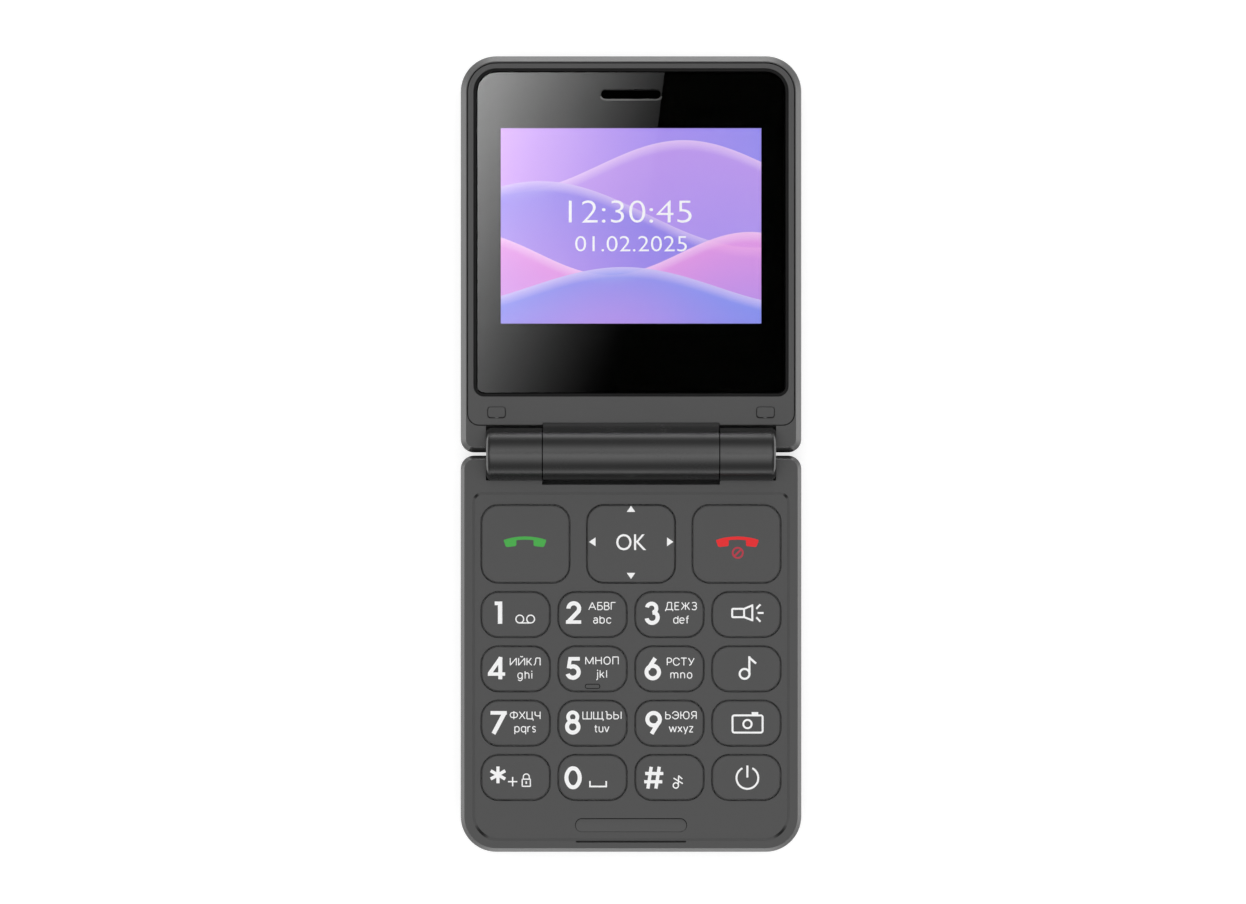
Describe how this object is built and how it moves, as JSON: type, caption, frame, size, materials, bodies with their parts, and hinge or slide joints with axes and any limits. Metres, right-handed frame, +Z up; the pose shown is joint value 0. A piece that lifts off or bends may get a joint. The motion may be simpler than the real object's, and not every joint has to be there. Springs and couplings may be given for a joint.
{
  "type": "mobile_phone",
  "caption": "Dark grey clamshell mobile phone, open flat: display lid, keypad base, hinge barrel, pressable keys, sliding battery door.",
  "frame": {"origin": "middle of the footprint at table height, under the hinge axis", "axes": "+Y from the hinge to the top of the lid, +Z up through the inner faces, +X along the hinge"},
  "size_m": [0.064, 0.1494, 0.0159],
  "materials": {
    "cover_plastic": "dark grey moulded plastic, fine grain",
    "frame_plastic": "dark grey moulded plastic, smooth",
    "barrel_plastic": "dark grey satin plastic",
    "key_plastic": "dark grey keys with printed legends",
    "window_glass": "clear window",
    "lens_glass": "clear lenses",
    "seal_rubber": "black seal",
    "plug_rubber": "dark grey rubber",
    "pad_rubber": "dark grey rubber",
    "keypad_silicone": "translucent silicone",
    "display_glass": "lit display",
    "inner_plastic": "black moulded plastic",
    "circuit_board": "green lacquered board",
    "battery_wrap": "wrapped pack",
    "sheet_steel": "tinned sheet",
    "spring_steel": "hard steel",
    "screw_steel": "dark screws",
    "contact_gold": "gilded contacts",
    "flex_film": "amber film",
    "magnet_nickel": "nickel plated"
  },
  "bodies": {
    "base": {"base_front_cover": "cover_plastic", "base_rear_cover": "cover_plastic", "battery": "battery_wrap", "battery_contacts": "contact_gold", "main_board": "circuit_board", "shield_can": "sheet_steel", "card_holder": "sheet_steel", "key_domes": "spring_steel", "keypad_mat": "keypad_silicone", "loudspeaker": "inner_plastic", "vibration_motor": "sheet_steel", "microphone": "sheet_steel", "antenna": "contact_gold", "charging_socket": "sheet_steel", "closing_pad": "pad_rubber", "base_screws": "screw_steel", "left_hinge_barrel": "barrel_plastic", "right_hinge_barrel": "barrel_plastic", "hinge_cam_shaft": "spring_steel", "hinge_pin": "spring_steel", "board_flex": "flex_film"},
    "lid": {"lid_outer_cover": "cover_plastic", "lid_inner_frame": "frame_plastic", "window_gasket": "seal_rubber", "display_window": "window_glass", "display_panel": "display_glass", "earpiece_speaker": "inner_plastic", "closing_magnet": "magnet_nickel", "lid_board": "circuit_board", "camera_module": "inner_plastic", "camera_window": "lens_glass", "torch_lens": "lens_glass", "screw_plugs": "plug_rubber", "lid_screws": "screw_steel", "lid_hinge_barrel": "barrel_plastic", "hinge_cartridge": "spring_steel", "hinge_disc_springs": "spring_steel", "display_flex": "flex_film"},
    "battery_door": {"battery_door": "cover_plastic"},
    "nav_actuator": {"nav_key_actuator": "inner_plastic"},
    "nav_carrier": {"nav_key_carrier": "inner_plastic"},
    "nav_key": {"nav_key": "key_plastic"},
    "call_key": {"call_key": "key_plastic"},
    "end_key": {"end_key": "key_plastic"},
    "key_1": {"key_1": "key_plastic"},
    "key_2": {"key_2": "key_plastic"},
    "key_3": {"key_3": "key_plastic"},
    "key_4": {"key_4": "key_plastic"},
    "key_5": {"key_5": "key_plastic"},
    "key_6": {"key_6": "key_plastic"},
    "key_7": {"key_7": "key_plastic"},
    "key_8": {"key_8": "key_plastic"},
    "key_9": {"key_9": "key_plastic"},
    "key_0": {"key_0": "key_plastic"},
    "key_star": {"key_star": "key_plastic"},
    "key_hash": {"key_hash": "key_plastic"},
    "key_torch": {"key_torch": "key_plastic"},
    "key_music": {"key_music": "key_plastic"},
    "key_camera": {"key_camera": "key_plastic"},
    "key_power": {"key_power": "key_plastic"}
  },
  "joints": [
    {"name": "lid_hinge", "type": "hinge", "parent": "base", "child": "lid", "pos_m": [0, 0, 0.011], "axis": [1, 0, 0], "range_deg": [0, 180]},
    {"name": "battery_door_slide", "type": "slide", "parent": "base", "child": "battery_door", "axis": [0, -1, 0], "range_m": [0, 0.062]},
    {"name": "nav_press", "type": "slide", "parent": "base", "child": "nav_actuator", "axis": [0, 0, -1], "range_m": [0, 0.0004], "stiffness_N_per_m": 3000},
    {"name": "nav_rock_ends", "type": "hinge", "parent": "nav_actuator", "child": "nav_carrier", "pos_m": [0, -0.01688, 0.00843], "axis": [1, 0, 0], "range_deg": [-1.5, 1.5], "stiffness_Nm_per_rad": 0.06},
    {"name": "nav_rock_sides", "type": "hinge", "parent": "nav_carrier", "child": "nav_key", "pos_m": [0, -0.01688, 0.00903], "axis": [0, 1, 0], "range_deg": [-1.5, 1.5], "stiffness_Nm_per_rad": 0.06},
    {"name": "call_key_press", "type": "slide", "parent": "base", "child": "call_key", "axis": [0, 0, -1], "range_m": [0, 0.0004], "stiffness_N_per_m": 3000},
    {"name": "end_key_press", "type": "slide", "parent": "base", "child": "end_key", "axis": [0, 0, -1], "range_m": [0, 0.0004], "stiffness_N_per_m": 3000},
    {"name": "key_1_press", "type": "slide", "parent": "base", "child": "key_1", "axis": [0, 0, -1], "range_m": [0, 0.0004], "stiffness_N_per_m": 3000},
    {"name": "key_2_press", "type": "slide", "parent": "base", "child": "key_2", "axis": [0, 0, -1], "range_m": [0, 0.0004], "stiffness_N_per_m": 3000},
    {"name": "key_3_press", "type": "slide", "parent": "base", "child": "key_3", "axis": [0, 0, -1], "range_m": [0, 0.0004], "stiffness_N_per_m": 3000},
    {"name": "key_4_press", "type": "slide", "parent": "base", "child": "key_4", "axis": [0, 0, -1], "range_m": [0, 0.0004], "stiffness_N_per_m": 3000},
    {"name": "key_5_press", "type": "slide", "parent": "base", "child": "key_5", "axis": [0, 0, -1], "range_m": [0, 0.0004], "stiffness_N_per_m": 3000},
    {"name": "key_6_press", "type": "slide", "parent": "base", "child": "key_6", "axis": [0, 0, -1], "range_m": [0, 0.0004], "stiffness_N_per_m": 3000},
    {"name": "key_7_press", "type": "slide", "parent": "base", "child": "key_7", "axis": [0, 0, -1], "range_m": [0, 0.0004], "stiffness_N_per_m": 3000},
    {"name": "key_8_press", "type": "slide", "parent": "base", "child": "key_8", "axis": [0, 0, -1], "range_m": [0, 0.0004], "stiffness_N_per_m": 3000},
    {"name": "key_9_press", "type": "slide", "parent": "base", "child": "key_9", "axis": [0, 0, -1], "range_m": [0, 0.0004], "stiffness_N_per_m": 3000},
    {"name": "key_0_press", "type": "slide", "parent": "base", "child": "key_0", "axis": [0, 0, -1], "range_m": [0, 0.0004], "stiffness_N_per_m": 3000},
    {"name": "key_star_press", "type": "slide", "parent": "base", "child": "key_star", "axis": [0, 0, -1], "range_m": [0, 0.0004], "stiffness_N_per_m": 3000},
    {"name": "key_hash_press", "type": "slide", "parent": "base", "child": "key_hash", "axis": [0, 0, -1], "range_m": [0, 0.0004], "stiffness_N_per_m": 3000},
    {"name": "key_torch_press", "type": "slide", "parent": "base", "child": "key_torch", "axis": [0, 0, -1], "range_m": [0, 0.0004], "stiffness_N_per_m": 3000},
    {"name": "key_music_press", "type": "slide", "parent": "base", "child": "key_music", "axis": [0, 0, -1], "range_m": [0, 0.0004], "stiffness_N_per_m": 3000},
    {"name": "key_camera_press", "type": "slide", "parent": "base", "child": "key_camera", "axis": [0, 0, -1], "range_m": [0, 0.0004], "stiffness_N_per_m": 3000},
    {"name": "key_power_press", "type": "slide", "parent": "base", "child": "key_power", "axis": [0, 0, -1], "range_m": [0, 0.0004], "stiffness_N_per_m": 3000}
  ]
}
